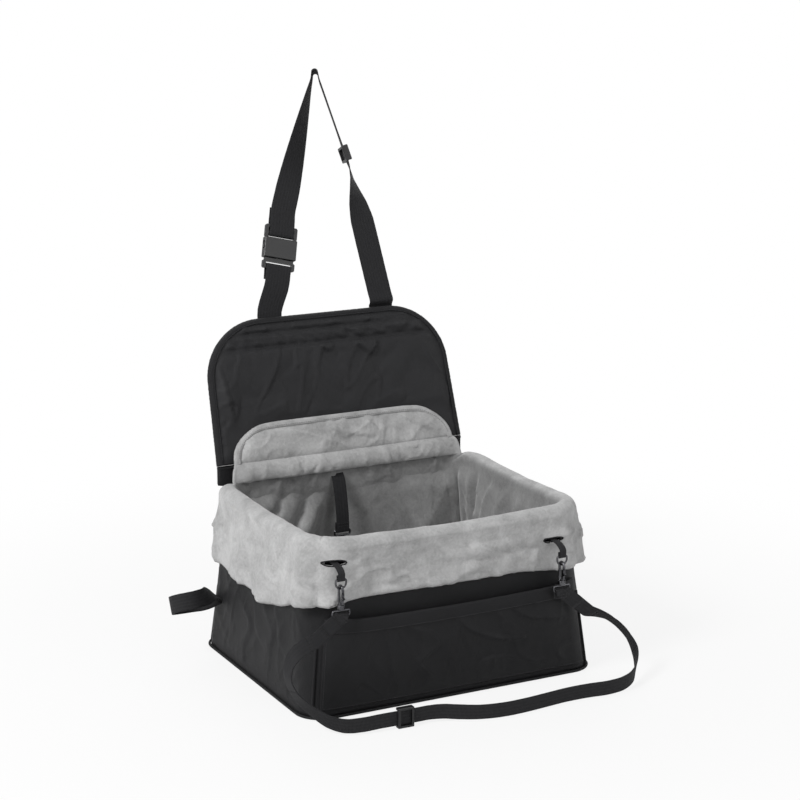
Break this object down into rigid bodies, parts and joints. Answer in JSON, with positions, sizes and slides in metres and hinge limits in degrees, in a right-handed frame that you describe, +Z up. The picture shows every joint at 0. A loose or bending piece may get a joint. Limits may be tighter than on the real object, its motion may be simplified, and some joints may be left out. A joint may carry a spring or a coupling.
{
  "type": "dog car seat",
  "caption": "Soft booster tub for a small dog, with plush lining, folding backrest, buckled headrest strap, front strap on snap hooks and inner tether.",
  "frame": {"origin": "middle of the tub's flat underside, on the surface that it stands on", "axes": "+X to the right seen from the front, -Y the open front with the pocket, +Z up"},
  "size_m": [0.584, 0.6418, 0.8037],
  "materials": {
    "nylon": "plain woven black nylon, matt with a faint sheen",
    "backrest_nylon": "plain woven charcoal nylon, matt",
    "plush": "short pile grey plush",
    "webbing": "ribbed black polyester webbing",
    "fibreboard": "pressed fibreboard, hidden in the walls",
    "foam": "soft foam sheet, hidden in the backrest",
    "acetal": "moulded black acetal, satin",
    "nickel": "nickel plated zinc and steel"
  },
  "bodies": {
    "tub": {"wall_front": "nylon", "board_front": "fibreboard", "lining_front": "plush", "wall_right": "nylon", "board_right": "fibreboard", "lining_right": "plush", "wall_back": "nylon", "board_back": "fibreboard", "lining_back": "plush", "wall_left": "nylon", "board_left": "fibreboard", "lining_left": "plush", "corner_piping_front_left": "webbing", "corner_piping_front_right": "webbing", "corner_piping_back_right": "webbing", "corner_piping_back_left": "webbing", "base_panel": "nylon", "base_board": "fibreboard", "base_piping": "webbing", "ring_tab_left": "webbing", "ring_tab_right": "webbing", "floor_pad": "plush", "front_pocket": "nylon", "pocket_hem": "webbing", "fold_tape": "nylon", "front_strap": "webbing", "strap_end_left": "webbing", "strap_end_right": "webbing"},
    "backrest": {"backrest_front": "backrest_nylon", "backrest_foam": "foam", "backrest_rear": "backrest_nylon", "backrest_binding": "webbing", "strap_tail": "webbing", "headrest_strap": "webbing", "buckle_male": "acetal"},
    "flap": {"rear_flap": "plush", "flap_binding": "plush"},
    "buckle_housing": {"buckle_female": "acetal"},
    "prong_left": {"buckle_prong_left": "acetal"},
    "prong_right": {"buckle_prong_right": "acetal"},
    "strap_slider": {"headrest_slider": "acetal"},
    "tether": {"tether_webbing": "webbing", "tether_eye": "nickel"},
    "tether_snap": {"tether_hook": "nickel"},
    "tether_thumb_gate": {"tether_gate": "nickel"},
    "belt_loop_left": {"belt_loop_left": "webbing"},
    "belt_loop_right": {"belt_loop_right": "webbing"},
    "floor_strap_slider": {"front_slider": "acetal"},
    "ring_left": {"d_ring_left": "nickel"},
    "snap_left": {"front_left_hook": "nickel"},
    "thumb_gate_left": {"front_left_gate": "nickel"},
    "swivel_eye_left": {"front_left_eye": "nickel"},
    "ring_right": {"d_ring_right": "nickel"},
    "snap_right": {"front_right_hook": "nickel"},
    "thumb_gate_right": {"front_right_gate": "nickel"},
    "swivel_eye_right": {"front_right_eye": "nickel"}
  },
  "joints": [
    {"name": "backrest_fold", "type": "hinge", "parent": "tub", "child": "backrest", "pos_m": [0, 0.17009, 0.256], "axis": [1, 0, 0], "range_deg": [0, 100]},
    {"name": "flap_fold", "type": "hinge", "parent": "backrest", "child": "flap", "pos_m": [0, 0.16011, 0.26345], "axis": [1, 0, 0], "range_deg": [0, 30]},
    {"name": "buckle_release", "type": "slide", "parent": "backrest", "child": "buckle_housing", "axis": [0.2419, 0.2998, 0.9228], "range_m": [0, 0.028], "deforming": ["buckle_prong_left", "buckle_prong_right", "headrest_strap"]},
    {"name": "headrest_adjust", "type": "slide", "parent": "backrest", "child": "strap_slider", "axis": [-0.2126, 0.302, 0.9293], "range_m": [0, 0.085]},
    {"name": "tether_swing", "type": "hinge", "parent": "tub", "child": "tether", "pos_m": [-0.018, 0.16845, 0.23165], "axis": [1, 0, 0], "range_deg": [-80, 0]},
    {"name": "tether_swivel", "type": "hinge", "parent": "tether", "child": "tether_snap", "pos_m": [-0.018, 0.13409, 0.11285], "axis": [0, 0, 1], "continuous": true},
    {"name": "tether_gate_press", "type": "hinge", "parent": "tether_snap", "child": "tether_thumb_gate", "pos_m": [-0.018, 0.1304, 0.13335], "axis": [1, 0, 0], "range_deg": [0, 25], "stiffness_Nm_per_rad": 0.02},
    {"name": "front_slider_slide", "type": "slide", "parent": "tub", "child": "floor_strap_slider", "axis": [0.9996, -0.0278, 0], "range_m": [-0.018, 0.018]},
    {"name": "prong_left_press", "type": "hinge", "parent": "backrest", "child": "prong_left", "pos_m": [-0.07709, 0.26119, 0.53636], "axis": [0, 0.9511, -0.309], "range_deg": [0, 8], "stiffness_Nm_per_rad": 0.4},
    {"name": "prong_right_press", "type": "hinge", "parent": "backrest", "child": "prong_right", "pos_m": [-0.0375, 0.25814, 0.52698], "axis": [0, -0.9511, 0.309], "range_deg": [0, 8], "stiffness_Nm_per_rad": 0.4},
    {"name": "ring_left_swing", "type": "hinge", "parent": "tub", "child": "ring_left", "pos_m": [-0.178, -0.19157, 0.194], "axis": [-1, 0, 0], "range_deg": [0, 60], "deforming": ["strap_end_left"]},
    {"name": "snap_left_swing", "type": "hinge", "parent": "ring_left", "child": "snap_left", "pos_m": [-0.178, -0.19157, 0.182], "axis": [-1, 0, 0], "range_deg": [0, 45], "deforming": ["strap_end_left"]},
    {"name": "gate_left_press", "type": "hinge", "parent": "snap_left", "child": "thumb_gate_left", "pos_m": [-0.178, -0.19527, 0.1615], "axis": [-1, 0, 0], "range_deg": [0, 25], "stiffness_Nm_per_rad": 0.02},
    {"name": "eye_left_swivel", "type": "hinge", "parent": "snap_left", "child": "swivel_eye_left", "pos_m": [-0.178, -0.19157, 0.182], "axis": [0, 0, 1], "continuous": true, "deforming": ["strap_end_left"]},
    {"name": "belt_loop_left_swing", "type": "hinge", "parent": "tub", "child": "belt_loop_left", "pos_m": [-0.21762, 0.128, 0.076], "axis": [0, 1, 0], "range_deg": [-40, 12]},
    {"name": "ring_right_swing", "type": "hinge", "parent": "tub", "child": "ring_right", "pos_m": [0.15, -0.20022, 0.18], "axis": [-1, 0, 0], "range_deg": [0, 60], "deforming": ["strap_end_right"]},
    {"name": "snap_right_swing", "type": "hinge", "parent": "ring_right", "child": "snap_right", "pos_m": [0.15, -0.20022, 0.168], "axis": [-1, 0, 0], "range_deg": [0, 45], "deforming": ["strap_end_right"]},
    {"name": "gate_right_press", "type": "hinge", "parent": "snap_right", "child": "thumb_gate_right", "pos_m": [0.15, -0.20392, 0.1475], "axis": [-1, 0, 0], "range_deg": [0, 25], "stiffness_Nm_per_rad": 0.02},
    {"name": "eye_right_swivel", "type": "hinge", "parent": "snap_right", "child": "swivel_eye_right", "pos_m": [0.15, -0.20022, 0.168], "axis": [0, 0, 1], "continuous": true, "deforming": ["strap_end_right"]},
    {"name": "belt_loop_right_swing", "type": "hinge", "parent": "tub", "child": "belt_loop_right", "pos_m": [0.21762, 0.128, 0.076], "axis": [0, -1, 0], "range_deg": [-40, 12]}
  ]
}
